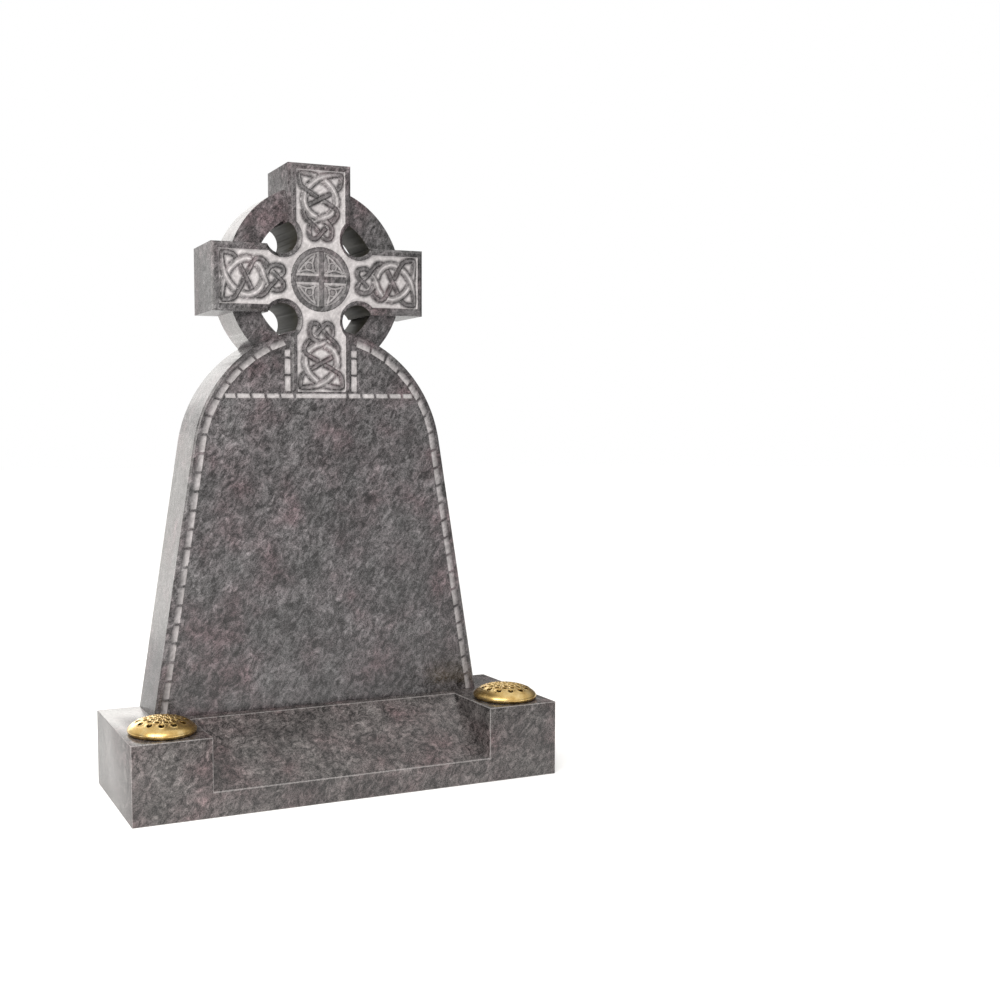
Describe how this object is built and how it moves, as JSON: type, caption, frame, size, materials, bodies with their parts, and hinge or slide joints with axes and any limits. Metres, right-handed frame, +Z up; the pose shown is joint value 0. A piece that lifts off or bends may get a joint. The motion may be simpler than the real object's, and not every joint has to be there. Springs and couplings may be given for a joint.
{
  "type": "celtic cross headstone",
  "caption": "Granite headstone with a wheel-head cross and sunk knotwork on an arched tablet, standing on a base block with sunk flower containers under pierced lids",
  "frame": {"origin": "centre of the base's rectangular underside, on the ground", "axes": "+Z up, -Y towards the carved front, +X to the right as seen from the front"},
  "size_m": [0.9, 0.305, 1.258],
  "materials": {
    "base_granite": "polished dark grey granite",
    "headstone_granite": "polished dark grey granite with blasted light grey carving",
    "container_metal": "gold-coloured spun metal",
    "lid_metal": "polished gold-coloured metal"
  },
  "bodies": {
    "root": {"base": "base_granite", "headstone": "headstone_granite", "flower_container_left": "container_metal", "flower_container_right": "container_metal", "container_lid_left": "lid_metal", "container_lid_right": "lid_metal"}
  },
  "joints": []
}
